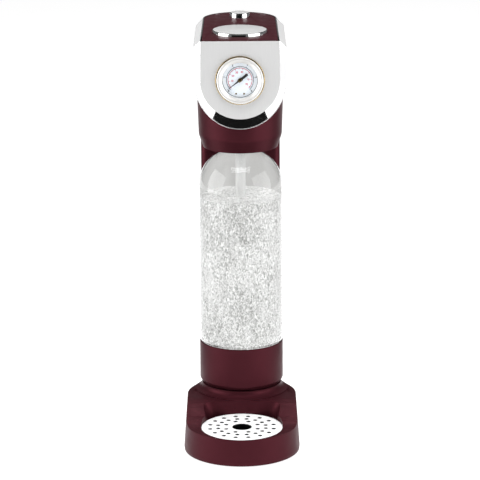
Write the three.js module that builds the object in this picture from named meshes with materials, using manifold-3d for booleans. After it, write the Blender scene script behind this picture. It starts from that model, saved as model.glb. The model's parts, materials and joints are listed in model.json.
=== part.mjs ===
// Home soda carbonator: a foot with a drip tray, a column that holds the gas cylinder, and a head
// with the gauge, the buttons and the tilting bottle holder. A one litre bottle hangs in the holder.
// Millimetres, +Z up, the front faces -Y. Inside this file the bottle's axis is x = 0, y = 0, and the
// whole model is shifted at the end so that the origin is the middle of the footprint.

import * as THREE from 'three';
import { mergeVertices } from 'three/addons/utils/BufferGeometryUtils.js';
import { ConvexGeometry } from 'three/addons/geometries/ConvexGeometry.js';
import Module from 'manifold-3d';

const wasm = await Module();
wasm.setup();

// ---------------------------------------------------------------- driving dimensions
const GAP = 0.3;            // clearance between pieces that touch
const WALL = 2.5;           // moulded wall thickness
const FINE = 32;            // sides of a large round piece
const COARSE = 16;          // sides of a small round piece
const FEW = 12;             // sides of a pin or a screw hole
const PAST = 160;           // half the width of a block that reaches past the whole model

const BOTTLE = { radius: 43, wall: 1.2, seat: 56, waist: 40.2, shoulder: 252, neck: 14.2, top: 318 };
const CUP = { radius: 42.3, wall: 1.7, bottom: 50.3, top: 93.5 };

const BASE = { radius: 57.8, frontY: -73.7, rearY: -23, bottom: 1.2, low: 28, high: 42, draft: 2.8 };
const INSIDE = { plate: 2, plateTop: 4.2, floor: 4.6 };       // heights inside the foot
const TRAY = { y: -87.5, radius: 40.4, thickness: 1.4, well: 38.8, wellFloor: 6.5, hole: 9.7, drain: 1.8 };
const DRAIN_RINGS = [[16, 32.2], [16, 24.1], [8, 16.9]];      // how many drain holes, on what radius
const RECESS = { halfWidth: 36.5 };                           // gap between the tray and the pedestal
const PEDESTAL = { radius: 47.8, neck: 40.5, top: 49.2, lip: 0.8, cove: 6.4 };
const COLUMN = { halfWidth: 40.3, frontY: 45.5, rearY: 77, corner: 6, top: 306 };

const HOUSING = {
  bottom: 295.5, floor: 306.3, top: 385.7, halfWidth: 43.3, taper: 1.6, edge: 4, edgeHeight: 13,
};
const HOOD = {
  frontY: -50, bandY: -43, plate: 39.25, side: 45.8, drop: 51, centreZ: 372,
  sideTop: 402.5, sideBottom: 359.5, top: 410.5, deck: 38.8, rearDeck: 37.5, rear: 45, skin: 2,
};
const FRAME = { bottom: 386, top: 389 };
const BUTTON = { radius: 27.3, top: 413, bottom: 404.5, stem: 4 };
const VENT = { y: 88, radius: 10.2, top: 414.8, bottom: 404, stem: 2.5 };
const GAUGE = { z: 371.7, flange: 24.2, bezel: 23.4, window: 19.3, body: 21.2, dial: 19.7, stem: 5 };
const NEEDLE = { rest: 217.8, length: 15.8, tail: 9.4 };      // degrees from the right, then lengths
const LEVER = { pivotY: 105, z: 378, halfWidth: 7, half: 3, boss: 5, pin: 2, hole: 2.3 };
const CYLINDER = { y: 81, radius: 30, bottom: 12, top: 326 };
const REST = { radius: 32.5, top: 17 };
const VALVE_BLOCK = { bottom: 346, top: 366, socket: 353.3 };
const TILT = { y: 30, z: 345, pin: 2.7, boss: 6 };
const HOLDER = { radius: 20, bottom: 324, top: 343, socket: 21.5, bore: 17.2, mouth: 300, roof: 321.3 };
const NOZZLE = { radius: 5, bore: 3, top: 323.7, step: 238, tip: 4, bottom: 225 };

const FOOT_SPOTS = [[-32, -100], [32, -100], [-22, 92], [22, 92]];
const SCREW_SPOTS = [[-47, -60], [47, -60], [-33, 40], [33, 40]];
const TOWER_SCREW_SPOTS = [[-34, 51.8], [34, 51.8]];
const COVER_POST_SPOTS = [[-30, 40], [30, 40], [-30, 64], [30, 64]];
const SCREW = { shank: 1.7, head: 3.4, hole: 2, boss: 4.5 };

// ---------------------------------------------------------------- finishes
const finish = (color, roughness, metalness = 0) =>
  ({ color, roughness, metalness });
const BURGUNDY = finish(0x4c272d, 0.38);
const CHROME = finish(0xe8e8ea, 0.08, 1);
const STEEL = finish(0xc4c5c8, 0.32, 1);
const BRASS = finish(0xc9a45a, 0.25, 1);
const WHITE = finish(0xf2f4f8, 0.5);
const BLACK = finish(0x151515, 0.5);
const RUBBER = finish(0x202020, 0.85);
const GREY = finish(0x6d6f73, 0.6);
const CLEAR = { ...finish(0xeef2f4, 0.08), transparent: true, opacity: 0.3 };

// ---------------------------------------------------------------- geometry helpers
const arc = (cx, cy, rx, ry, from, to, count) =>
  Array.from({ length: count + 1 }, (_, i) => {
    const angle = from + ((to - from) * i) / count;
    return [cx + rx * Math.cos(angle), cy + ry * Math.sin(angle)];
  });

const cylinder = (radius, z0, z1, x = 0, y = 0, sides = COARSE) =>
  new THREE.CylinderGeometry(radius, radius, z1 - z0, sides)
    .rotateX(Math.PI / 2)
    .translate(x, y, (z0 + z1) / 2);

const box = (x0, x1, y0, y1, z0, z1) =>
  new THREE.BoxGeometry(x1 - x0, y1 - y0, z1 - z0)
    .translate((x0 + x1) / 2, (y0 + y1) / 2, (z0 + z1) / 2);

// A rod along X, centred on x = 0.
const crossRod = (radius, halfLength, y, z, sides = COARSE) =>
  new THREE.CylinderGeometry(radius, radius, 2 * halfLength, sides)
    .rotateZ(Math.PI / 2)
    .translate(0, y, z);

// A profile of [radius, height] pairs turned about Z through (x, y).
const turned = (profile, x = 0, y = 0, sides = FINE) =>
  new THREE.LatheGeometry(profile.map(([r, z]) => new THREE.Vector2(r, z)), sides)
    .rotateX(Math.PI / 2)
    .translate(x, y, 0);

// The same about the gauge's axis, which runs along Y.
const gaugeTurned = (profile, sides = FINE) =>
  new THREE.LatheGeometry(profile.map(([r, y]) => new THREE.Vector2(r, y)), sides)
    .translate(0, 0, GAUGE.z);

const gaugeRod = (radius, y0, y1, sides = FINE) =>
  new THREE.CylinderGeometry(radius, radius, y1 - y0, sides)
    .translate(0, (y0 + y1) / 2, GAUGE.z);

const outline = (points) => new THREE.Shape(points.map(([x, y]) => new THREE.Vector2(x, y)));

const prism = (shape, z0, z1) =>
  new THREE.ExtrudeGeometry(shape, { depth: z1 - z0, bevelEnabled: false, curveSegments: 8 })
    .translate(0, 0, z0);

// Shapes drawn in the (y, z) plane and run along X, or drawn in the (x, z) plane and run along Y.
const alongX = (shape, x0, x1) =>
  prism(shape, x0, x1).applyMatrix4(new THREE.Matrix4().makeBasis(
    new THREE.Vector3(0, 1, 0), new THREE.Vector3(0, 0, 1), new THREE.Vector3(1, 0, 0)));
const alongY = (shape, y0, y1) =>
  prism(shape, -y1, -y0).applyMatrix4(new THREE.Matrix4().makeBasis(
    new THREE.Vector3(1, 0, 0), new THREE.Vector3(0, 0, 1), new THREE.Vector3(0, -1, 0)));

const tube = (curve, radius, steps, sides = 8) =>
  new THREE.ExtrudeGeometry(new THREE.Shape().absarc(0, 0, radius, 0, 2 * Math.PI),
    { extrudePath: curve, steps, curveSegments: sides / 2 });

const through = (...points) =>
  new THREE.CatmullRomCurve3(points.map((point) => new THREE.Vector3(...point)));

class Helix extends THREE.Curve {
  constructor(radius, z0, z1, turns, x, y) {
    super();
    Object.assign(this, { radius, z0, z1, turns, x, y });
  }

  getPoint(t, target = new THREE.Vector3()) {
    const angle = 2 * Math.PI * this.turns * t;
    return target.set(this.x + this.radius * Math.cos(angle),
      this.y + this.radius * Math.sin(angle), this.z0 + (this.z1 - this.z0) * t);
  }
}

const spring = (radius, wire, z0, z1, turns, x, y) =>
  tube(new Helix(radius, z0 + wire, z1 - wire, turns, x, y), wire, turns * 10, 6);

// ---------------------------------------------------------------- cutting and joining
function solid(geometry) {
  const bare = geometry.clone();
  bare.deleteAttribute('normal');
  bare.deleteAttribute('uv');
  const merged = mergeVertices(bare, 1e-4);
  return new wasm.Manifold(new wasm.Mesh({
    numProp: 3,
    vertProperties: new Float32Array(merged.attributes.position.array),
    triVerts: new Uint32Array(merged.index.array),
  }));
}

function surface(body) {
  const mesh = body.getMesh();
  const geometry = new THREE.BufferGeometry();
  geometry.setAttribute('position', new THREE.BufferAttribute(mesh.vertProperties, 3));
  geometry.setIndex(new THREE.BufferAttribute(mesh.triVerts, 1));
  return geometry;
}

const join = (...parts) => surface(parts.map(solid).reduce((all, next) => all.add(next)));
const cut = (part, ...tools) =>
  surface(tools.map(solid).reduce((all, next) => all.subtract(next), solid(part)));
const common = (...parts) => surface(parts.map(solid).reduce((all, next) => all.intersect(next)));

// ---------------------------------------------------------------- the model
const model = new THREE.Group();

function add(name, geometry, look) {
  const mesh = new THREE.Mesh(geometry, new THREE.MeshStandardMaterial(look));
  mesh.name = name;
  model.add(mesh);
}

// Plan of the foot: a round front, a round shoulder beside the bottle, and the column's round back.
function basePlan(inset) {
  const radius = BASE.radius - inset;
  const tail = COLUMN.halfWidth + BASE.draft - inset;
  const turn = Math.acos(tail / radius);
  return outline([
    ...arc(0, BASE.frontY, radius, radius, Math.PI, 2 * Math.PI, 24),
    ...arc(0, BASE.rearY, radius, radius, 0, turn, 6),
    ...arc(0, COLUMN.rearY, tail, tail, 0, Math.PI, 14),
    ...arc(0, BASE.rearY, radius, radius, Math.PI - turn, Math.PI, 6),
  ]);
}

// Plan of the column, with rounded front corners.
function columnPlan(inset) {
  const half = COLUMN.halfWidth - inset;
  const corner = COLUMN.corner - inset;
  const cornerX = COLUMN.halfWidth - COLUMN.corner;
  const cornerY = COLUMN.frontY + COLUMN.corner;
  return outline([
    ...arc(-cornerX, cornerY, corner, corner, Math.PI, 1.5 * Math.PI, 4),
    ...arc(cornerX, cornerY, corner, corner, 1.5 * Math.PI, 2 * Math.PI, 4),
    ...arc(0, COLUMN.rearY, half, half, 0, Math.PI, 14),
  ]);
}

// The foot's outer block: drafted walls, and a top that falls in a curve to the low front.
function baseBlock() {
  const drafted = new THREE.ExtrudeGeometry(basePlan(0), {
    depth: 0.1, bevelThickness: BASE.high - BASE.bottom, bevelSize: -BASE.draft, bevelSegments: 1,
  }).translate(0, 0, BASE.bottom);
  const side = new THREE.Shape();
  side.moveTo(-PAST, BASE.bottom);
  side.lineTo(PAST, BASE.bottom);
  side.lineTo(PAST, BASE.high);
  side.lineTo(-40, BASE.high);
  side.bezierCurveTo(-64, BASE.high, -72, BASE.low, -96, BASE.low);
  side.lineTo(-PAST, BASE.low);
  return common(drafted, alongX(side, -PAST, PAST));
}

// The round pedestal under the bottle, with a cove round its edge.
function saucer() {
  const { radius, neck, top, lip, cove } = PEDESTAL;
  const root = BASE.high - 6;
  return common(
    turned([[0, root], [radius, root],
      ...arc(radius, top - lip, radius - neck, cove, -Math.PI / 2, -Math.PI, 6),
      [neck - lip, top], [0, top]]),
    prism(basePlan(BASE.draft + 1), BASE.low, PAST));
}

// The foot's inside: low under the tray and high behind it, but for the tray's well and the screw bosses.
function baseHollow() {
  const plan = basePlan(BASE.draft + WALL);
  const behindTray = box(-PAST, PAST, -40, PAST, 0, PAST);
  return cut(
    join(prism(plan, BASE.bottom - 1, BASE.low - WALL),
      common(prism(plan, BASE.bottom - 1, BASE.high - WALL), behindTray)),
    cylinder(TRAY.well + WALL, INSIDE.floor, PAST, 0, TRAY.y, FINE),
    ...SCREW_SPOTS.map(([x, y]) => cylinder(SCREW.boss, INSIDE.floor, PAST, x, y)));
}

function baseShell() {
  const seat = BASE.low - TRAY.thickness;
  return cut(join(baseBlock(), saucer()), baseHollow(),
    join(cylinder(TRAY.radius + GAP, seat, PAST, 0, TRAY.y, FINE),
      cylinder(TRAY.well, TRAY.wellFloor, PAST, 0, TRAY.y, FINE),
      box(-RECESS.halfWidth, RECESS.halfWidth, TRAY.y, -PEDESTAL.radius - 0.2, seat, PAST)),
    cylinder(CYLINDER.radius + 2, 20, PAST, 0, CYLINDER.y, FINE),
    ...SCREW_SPOTS.map(([x, y]) => cylinder(SCREW.hole, 4, 20, x, y, FEW)));
}

function addBase() {
  add('base_shell', baseShell(), BURGUNDY);
  add('base_plate', cut(
    prism(basePlan(BASE.draft + WALL + GAP), INSIDE.plate, INSIDE.plateTop),
    ...SCREW_SPOTS.map(([x, y]) => cylinder(SCREW.hole, 0, 6, x, y, FEW))), BLACK);
  FOOT_SPOTS.forEach(([x, y], i) =>
    add(`foot_${i + 1}`, cylinder(8, 0, INSIDE.plate - GAP, x, y), RUBBER));
  SCREW_SPOTS.forEach(([x, y], i) =>
    add(`base_screw_${i + 1}`, turned([[0, 0.5], [SCREW.head - 0.2, 0.5], [SCREW.head, 1.7],
      [SCREW.shank, 1.7], [SCREW.shank, 14], [0, 15]], x, y, 8), STEEL));

  const radius = TRAY.well - GAP;
  const seat = BASE.low - TRAY.thickness;
  add('drip_cup', turned([[0, 7], [radius - 2, 7], [radius, 9], [radius, seat - GAP],
    [radius - 1.5, seat - GAP], [radius - 1.5, 10], [radius - 3, 8.5], [0, 8.5]], 0, TRAY.y), BLACK);
  add('drip_plate', dripPlate(seat), STEEL);
}

function dripPlate(bottom) {
  const drains = DRAIN_RINGS.flatMap(([count, ring]) =>
    Array.from({ length: count }, (_, i) => {
      const angle = 2 * Math.PI * (i + 0.5) / count;
      return cylinder(TRAY.drain, 20, 40, ring * Math.cos(angle), TRAY.y + ring * Math.sin(angle), 5);
    }));
  return cut(cylinder(TRAY.radius, bottom, bottom + TRAY.thickness, 0, TRAY.y, 40),
    cylinder(TRAY.hole, 20, 40, 0, TRAY.y, COARSE), ...drains);
}

function addColumn() {
  const { frontY, rearY, top } = COLUMN;
  const coverTop = HOUSING.bottom - 2 * GAP;
  const skin = cut(prism(columnPlan(0), BASE.high + GAP, top), prism(columnPlan(WALL), BASE.high, top + 1));
  const bosses = TOWER_SCREW_SPOTS.map(([x, y]) => cylinder(SCREW.boss, 290, top, x, y, FEW));
  add('tower_shell', cut(
    join(common(skin, box(-PAST, PAST, frontY - 5, rearY, 0, 2 * top)),
      common(skin, box(-PAST, PAST, rearY - 1, PAST, coverTop + GAP, 2 * top)), ...bosses),
    ...TOWER_SCREW_SPOTS.map(([x, y]) => cylinder(SCREW.hole - 0.1, 291, top + 1, x, y, FEW))), BURGUNDY);
  add('rear_cover', common(skin, box(-PAST, PAST, rearY + GAP, PAST, 0, coverTop)), BURGUNDY);
  const head = HOUSING.floor + WALL + 0.5;
  TOWER_SCREW_SPOTS.forEach(([x, y], i) =>
    add(`tower_screw_${i + 1}`, turned([[0, 293], [1.6, 294], [1.6, head], [SCREW.head, head],
      [SCREW.head - 0.2, head + 1.9], [0, head + 2.3]], x, y, 8), STEEL));
  const pocket = CYLINDER.radius + 2 * GAP;
  add('cylinder_rest', turned([[0, INSIDE.floor], [REST.radius, INSIDE.floor], [REST.radius, REST.top],
    [pocket, REST.top], [pocket, CYLINDER.bottom - GAP], [0, CYLINDER.bottom - GAP]], 0, CYLINDER.y), GREY);
}

// Plan of the head: round at both ends, wider towards the top.
function headPlan(half) {
  return [...arc(0, 0, half, half, Math.PI, 2 * Math.PI, 16),
    ...arc(0, COLUMN.rearY, half, half, 0, Math.PI, 12)];
}

const level = (points, z) => points.map(([x, y]) => new THREE.Vector3(x, y, z));

// The head's outer form, or the same form drawn in and run on past both ends for cutting.
function headBody(inset) {
  const { bottom, top, halfWidth, taper, edge, edgeHeight } = HOUSING;
  const past = inset > 0 ? 1 : 0;
  return new ConvexGeometry([
    ...level(headPlan(halfWidth - taper - edge - inset), bottom - past),
    ...level(headPlan(halfWidth - taper - inset), bottom + edgeHeight),
    ...level(headPlan(halfWidth - inset), HOOD.sideBottom),
    ...level(headPlan(halfWidth - inset), top + past),
  ]);
}

function headHousing() {
  // The holder swings forward through a slot that is as long as its swing.
  const { halfWidth, floor } = HOUSING;
  const swing = 5.5;
  const slotRadius = HOLDER.radius + 4;
  const slot = join(cylinder(slotRadius, 290, 330, 0, -swing, 24), cylinder(slotRadius, 290, 330, 0, 0, 24),
    box(-slotRadius, slotRadius, -swing, 0, 290, 330));
  const shelf = common(headBody(0), box(-PAST, PAST, -PAST, PAST, floor, floor + WALL));
  const pinBosses = cut(crossRod(TILT.boss, halfWidth - 1.5, TILT.y, TILT.z), box(-35, 35, 0, 60, 300, 400));
  return cut(
    join(cut(headBody(0), headBody(WALL)), shelf, pinBosses),
    prism(columnPlan(-GAP), 290, floor),
    slot,
    cylinder(CYLINDER.radius + WALL, 290, 330, 0, CYLINDER.y, FINE),
    crossRod(TILT.pin + GAP, 41, TILT.y, TILT.z),
    ...TOWER_SCREW_SPOTS.map(([x, y]) => cylinder(SCREW.hole, 300, 315, x, y, FEW)),
    gaugeRod(GAUGE.body + 1, -60, -20));
}

// Outer form of the polished hood, or the same form drawn in by an inset.
function hoodBody(inset, lower) {
  const { frontY, bandY, plate, side, drop, centreZ, top, deck, rearDeck, rear } = HOOD;
  const stand = (points, y) => points.map(([x, z]) => new THREE.Vector3(x, y, z));
  const half = (a, b) => arc(0, centreZ, a - inset, b - inset, Math.PI, 2 * Math.PI, 20);
  const tail = (radius) => arc(0, COLUMN.rearY, radius - inset, radius - inset, 0, Math.PI, 12);
  const shoulder = HOOD.sideTop - inset * 0.4;
  return new ConvexGeometry([
    ...stand([...half(plate, plate), [-deck + inset, top - inset], [deck - inset, top - inset]],
      frontY + inset),
    ...stand([...half(side, drop), [-side + inset, shoulder], [side - inset, shoulder]],
      bandY + inset * 0.4),
    ...level(tail(rear), HOOD.sideBottom - lower),
    ...level(tail(rear), shoulder),
    ...level(tail(rearDeck), top - inset),
  ]);
}

// Plan of the coloured deck that closes the hood's top.
const deckPlan = (inset) => outline([
  [-HOOD.deck + inset, HOOD.frontY + inset], [HOOD.deck - inset, HOOD.frontY + inset],
  ...arc(0, COLUMN.rearY, HOOD.rearDeck - inset, HOOD.rearDeck - inset, 0, Math.PI, 12)]);

function addHead() {
  add('head_housing', headHousing(), BURGUNDY);
  add('chrome_shroud', cut(hoodBody(0, 0),
    hoodBody(HOOD.skin, 6),
    headBody(-GAP),
    prism(deckPlan(1.2), HOOD.top - 8, HOOD.top + 1),
    gaugeRod(GAUGE.body + 0.5, -60, -40)), CHROME);

  const deckTop = HOOD.top - GAP;
  add('top_cover', cut(
    join(prism(deckPlan(1.2 + GAP), deckTop - 3.5, deckTop),
      ...COVER_POST_SPOTS.map(([x, y]) => cylinder(3, FRAME.top + GAP, deckTop - 2.7, x, y, FEW))),
    cylinder(BUTTON.radius + 0.4, 400, 420, 0, 0, FINE),
    cylinder(VENT.radius + 0.4, 400, 420, 0, VENT.y, 24)), BURGUNDY);

  const { pivotY, z, hole } = LEVER;
  const bracket = (x) => box(x - 2, x + 2, pivotY - 6, pivotY + 6, z - 6, FRAME.top);
  add('head_frame', cut(
    join(common(prism(outline(headPlan(HOUSING.halfWidth - 0.8)), FRAME.bottom, FRAME.top),
      box(-PAST, PAST, -22, PAST, 380, 400)), bracket(14), bracket(-14)),
    cylinder(BUTTON.stem + 0.6, 380, 400, 0, 0),
    crossRod(hole, 20, pivotY, z, FEW)), GREY);
}

// A button's stem, thin head and rim, turned about (0, y).
function button({ radius, top, bottom, stem }, tip, rim, edge, y, sides) {
  const under = top - 3;
  return turned([[0, tip], [stem, tip], [stem, under], [radius - rim, under], [radius - rim, bottom],
    [radius, bottom], [radius, top - edge], [radius - edge, top], [0, top]], 0, y, sides);
}

function addControls() {
  const { pivotY, z, halfWidth, half, boss, pin, hole } = LEVER;
  add('carbonate_button', button(BUTTON, z + half + GAP, 2, 0.8, 0, FINE), STEEL);
  add('button_spring', spring(8, 0.8, FRAME.top + GAP, BUTTON.top - 3 - GAP, 4, 0, 0), STEEL);

  const valveTop = 397;
  const bore = VENT.stem + 0.4;
  add('vent_button', button(VENT, valveTop - 3, 1.6, 0.6, VENT.y, 24), STEEL);
  add('vent_valve', turned([[0, FRAME.top + GAP], [8, FRAME.top + GAP], [8, valveTop - 1], [7, valveTop],
    [bore, valveTop], [bore, FRAME.top + 1.6], [0, FRAME.top + 1.6]], 0, VENT.y, COARSE), BRASS);
  add('vent_spring', spring(5, 0.6, valveTop + GAP, VENT.top - 3 - GAP, 3, 0, VENT.y), STEEL);

  add('valve_lever', cut(
    join(box(-halfWidth, halfWidth, -6, pivotY, z - half, z + half),
      crossRod(boss, halfWidth, pivotY, z)),
    crossRod(hole, 20, pivotY, z, FEW)), STEEL);
  add('lever_pin', crossRod(pin, 16, pivotY, z, FEW), STEEL);

  const { y } = CYLINDER;
  const { bottom, top, socket } = VALVE_BLOCK;
  add('valve_block', cut(
    join(box(-17, 17, y - 15, y + 15, bottom, top),
      box(-22, -17, y - 8, y + 8, bottom, FRAME.bottom - GAP),
      box(17, 22, y - 8, y + 8, bottom, FRAME.bottom - GAP)),
    cylinder(11.6, bottom - 6, socket, 0, y), cylinder(2.4, bottom, top + 4, 0, y, FEW)), BRASS);
  add('valve_pin', cylinder(2, socket + GAP, z - half - GAP, 0, y, FEW), STEEL);
}

function addGas() {
  const { y, radius, bottom, top } = CYLINDER;
  const bore = 6;
  add('gas_cylinder', turned([[0, bottom], [radius - 6, bottom], [radius - 2, bottom + 2],
    [radius, bottom + 7], [radius, top - 40], [radius - 2, top - 27], [radius - 8, top - 14], [13, top - 4],
    [10.5, top], [bore, top], [bore, top - 8], [radius - 10, top - 18], [radius - WALL, top - 40],
    [radius - WALL, bottom + 7], [0, bottom + 4]], 0, y), STEEL);
  add('cylinder_valve', turned([[0, top + GAP], [10.2, top + GAP], [10.2, top + 8], [11.2, top + 9],
    [11.2, top + 20], [8, top + 22], [8, top + 26.2], [0, top + 26.2]], 0, y, COARSE), BRASS);
  add('gas_hose', tube(through([0, y - 15.4, 358], [0, 56, 358], [2, 40, 360], [7, 26, 361],
    [10, 17, 359.5], [10.5, 12.5, 356], [10.5, 12, 351.5]), 2.2, 18), BLACK);
}

// The block that tilts with the bottle, the socket that grips its neck, and the nozzle into the water.
function addCarbonator() {
  const { radius, bottom, top, socket, bore, mouth, roof } = HOLDER;
  add('carbonation_block', cut(
    join(cylinder(radius, bottom, top, 0, 0, 24), box(-14, 14, 4, TILT.y + 7, 337, TILT.z + 6)),
    crossRod(TILT.pin + GAP, 20, TILT.y, TILT.z)), GREY);
  add('tilt_pin', crossRod(TILT.pin, 39.5, TILT.y, TILT.z), STEEL);
  const nozzleHole = NOZZLE.radius + GAP;
  add('bottle_socket', turned([[bore, mouth], [socket, mouth], [socket, bottom - GAP],
    [nozzleHole, bottom - GAP], [nozzleHole, roof], [bore, roof], [bore, mouth]]), GREY);
  const seal = { inner: 8, outer: 14, bottom: BOTTLE.top + GAP, top: roof - GAP };
  add('bottle_seal', turned([[seal.inner, seal.bottom], [seal.outer, seal.bottom], [seal.outer, seal.top],
    [seal.inner, seal.top], [seal.inner, seal.bottom]], 0, 0, 24), RUBBER);
  add('nozzle_tube', turned([[NOZZLE.bore, NOZZLE.step + GAP], [NOZZLE.radius, NOZZLE.step + GAP],
    [NOZZLE.radius, NOZZLE.top], [NOZZLE.bore, NOZZLE.top], [NOZZLE.bore, NOZZLE.step + GAP]],
  0, 0, COARSE), WHITE);
  add('nozzle_tip', turned([[1, NOZZLE.bottom], [NOZZLE.tip - 1, NOZZLE.bottom],
    [NOZZLE.tip, NOZZLE.bottom + 3], [NOZZLE.tip, NOZZLE.step], [1, NOZZLE.step], [1, NOZZLE.bottom]],
  0, 0, COARSE), WHITE);
  const foot = top + GAP;
  add('relief_valve', turned([[0, foot], [4, foot], [4, foot + 5.7], [2.5, foot + 6.7],
    [2.5, foot + 9.7], [0, foot + 9.7]], -11, -6, FEW), BRASS);
}

// The gauge's profiles are [radius, y], from the rear forwards.
function addGauge() {
  const { flange, bezel, window, body, dial, stem, z } = GAUGE;
  const rear = -30;
  const seat = HOOD.frontY - GAP;
  const ring = seat - 1.3;
  add('gauge_case', gaugeTurned([[stem + 0.4, rear - 2], [20, rear - 2], [20, seat - 1], [flange, seat - 1],
    [flange, seat], [body, seat], [body, rear], [stem + 0.4, rear], [stem + 0.4, rear - 2]]), BRASS);
  add('gauge_bezel', gaugeTurned([[window, ring], [window, ring - 1.6], [window + 1.2, ring - 2.6],
    [bezel - 1, ring - 2.6], [bezel, ring - 1.8], [bezel, ring], [window, ring]]), CHROME);
  add('gauge_lens', gaugeTurned([[0, -51.2], [dial, -51.2], [dial, -50.4], [0, -50.4]]), CLEAR);
  add('gauge_dial', gaugeTurned([[1.3, -46.6], [1.3, -47.4], [dial, -47.4], [dial, -46.6],
    [1.3, -46.6]]), WHITE);
  add('gauge_needle', gaugeNeedle(), BLACK);
  add('gauge_hub', gaugeTurned([[0, -50.1], [1.6, -50.1], [1.9, -49.7], [0, -49.7]], FEW), BRASS);
  add('gauge_stem', gaugeRod(stem, rear - 4, -20, FEW), BRASS);
  add('bourdon_tube', alongY(outline([
    ...arc(0, z, 15, 15, -Math.PI / 3, 1.2 * Math.PI, 14),
    ...arc(0, z, 12.6, 12.6, 1.2 * Math.PI, -Math.PI / 3, 14)]), -44, -38), BRASS);
  add('gauge_hose', tube(through([0, -19.6, z], [0, -14, z - 0.5], [0, -8, z - 6], [0, -5, z - 14],
    [0, -4, z - 22], [0, -4, HOLDER.top + 2 * GAP]), 1.8, 14), BLACK);
}

// A slim pointer with a broad tail, at rest just past the scale's lower end.
function gaugeNeedle() {
  const { rest, length, tail } = NEEDLE;
  const angle = (rest * Math.PI) / 180;
  const upper = [[length, 0.15], [2.4, 0.75], [1.8, 1.8], [-1.8, 1.8], [-2.4, 1.3], [-tail, 1.3]];
  const lower = upper.map(([x, y]) => [x, -y]).reverse();
  const blade = outline([...lower, ...upper]);
  const shaft = new THREE.CylinderGeometry(0.9, 0.9, 6, 8).translate(0, -46, 0);
  return join(alongY(blade, -49.4, -48.8), shaft).rotateY(-angle).translate(0, 0, GAUGE.z);
}

function addBottle() {
  const { radius, wall, seat, waist, shoulder, neck, top } = BOTTLE;
  const dome = (r, count) => {
    const end = Math.acos((neck + (r - radius)) / r);
    return arc(0, shoulder, r, r, 0, end, count);
  };
  const outer = [[0, seat], [30, seat], [37, seat + 4], [waist, seat + 12], [waist, CUP.top + 0.5],
    [radius, CUP.top + 3.5], ...dome(radius, 7), [neck, 296], [16.4, 297], [16.4, 298.6], [neck, 299],
    [neck, top]];
  const inner = [[neck - wall, top], ...dome(radius - wall, 6).reverse(), [radius - wall, CUP.top + 4],
    [waist - wall, CUP.top + 1], [waist - wall, seat + 12], [36, seat + 5], [29, seat + wall],
    [0, seat + wall]];
  add('bottle_body', turned([...outer, ...inner]), CLEAR);

  const { radius: cup, bottom, top: brim } = CUP;
  const inside = cup - CUP.wall;
  add('bottle_cup', turned([[0, bottom], [cup - 2.4, bottom], [cup - 0.6, bottom + 1], [cup, bottom + 3],
    [cup, brim - 0.6], [cup - 0.6, brim], [inside, brim], [inside, seat + 10], [36, seat - 1.2],
    [0, seat - 1.2]]), BURGUNDY);
}

addBase();
addColumn();
addHead();
addControls();
addGas();
addCarbonator();
addGauge();
addBottle();

// Centre the footprint on the origin.
const front = BASE.frontY - BASE.radius;
const back = COLUMN.rearY + HOOD.rear;
model.position.y = -(front + back) / 2;

export default model;
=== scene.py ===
import json
import math

import bmesh
import bpy
from mathutils import Matrix, Vector


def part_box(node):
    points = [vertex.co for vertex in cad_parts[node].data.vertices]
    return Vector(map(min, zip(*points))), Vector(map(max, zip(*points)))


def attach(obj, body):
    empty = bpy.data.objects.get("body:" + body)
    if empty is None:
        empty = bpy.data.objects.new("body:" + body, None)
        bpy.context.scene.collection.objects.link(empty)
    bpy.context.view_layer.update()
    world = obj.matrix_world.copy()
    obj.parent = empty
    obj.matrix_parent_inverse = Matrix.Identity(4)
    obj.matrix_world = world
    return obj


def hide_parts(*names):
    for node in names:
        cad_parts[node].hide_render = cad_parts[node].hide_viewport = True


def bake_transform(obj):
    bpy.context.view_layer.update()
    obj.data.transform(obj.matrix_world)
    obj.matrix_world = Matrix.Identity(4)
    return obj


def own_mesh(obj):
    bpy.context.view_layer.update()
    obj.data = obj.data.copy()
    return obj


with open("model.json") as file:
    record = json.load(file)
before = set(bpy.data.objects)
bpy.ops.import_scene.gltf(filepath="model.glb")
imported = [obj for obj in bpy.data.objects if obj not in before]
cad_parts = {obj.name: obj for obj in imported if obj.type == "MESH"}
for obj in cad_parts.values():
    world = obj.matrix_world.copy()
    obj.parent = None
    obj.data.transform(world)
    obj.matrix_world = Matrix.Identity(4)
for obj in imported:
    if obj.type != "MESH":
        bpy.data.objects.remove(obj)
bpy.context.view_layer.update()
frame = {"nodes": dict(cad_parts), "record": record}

# ------------------------------------------------------------------ places, from the frame
MM = 0.001
ROUND = 128                     # sides of a large turned piece
SMALL = 48                      # sides of a small turned piece
BOTTLE_SIDES = 160
ROD_SIDES = 16
PLAN_STEPS = 48                 # steps in a half round of the foot's or the column's plan
HEAD_STEPS = 40
HOOD_STEPS = 96
SHARPER = 10                    # degrees past the softened edges at which a shaded edge stays sharp
WIDE, FAR, BELOW = 70, 150, -5  # how far cutting tools reach: to each side, along and below the machine


def low(node):
    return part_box(node)[0] / MM


def high(node):
    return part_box(node)[1] / MM


def middle(node):
    return (low(node) + high(node)) / 2


AXIS = middle("bottle_body").y              # the bottle's axis, every outline below is drawn about it
GAUGE_Z = middle("gauge_dial").z
TRAY_Y = middle("drip_plate").y - AXIS
VENT_Y = middle("vent_button").y - AXIS
COLUMN_HALF = high("tower_shell").x
COLUMN_FRONT = low("tower_shell").y - AXIS
COLUMN_REAR = high("tower_shell").y - AXIS - COLUMN_HALF
DECK_TOP = high("chrome_shroud").z
CYLINDER_Y = middle("gas_cylinder").y - AXIS
BARREL = 21.2                   # radius of the gauge's case


# ------------------------------------------------------------------ outlines
def arc(cx, cy, rx, ry, start, end, count):
    """Points on an ellipse's arc, angles in degrees."""
    points = []
    for i in range(count + 1):
        angle = math.radians(start + (end - start) * i / count)
        points.append((cx + rx * math.cos(angle), cy + ry * math.sin(angle)))
    return points


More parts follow.
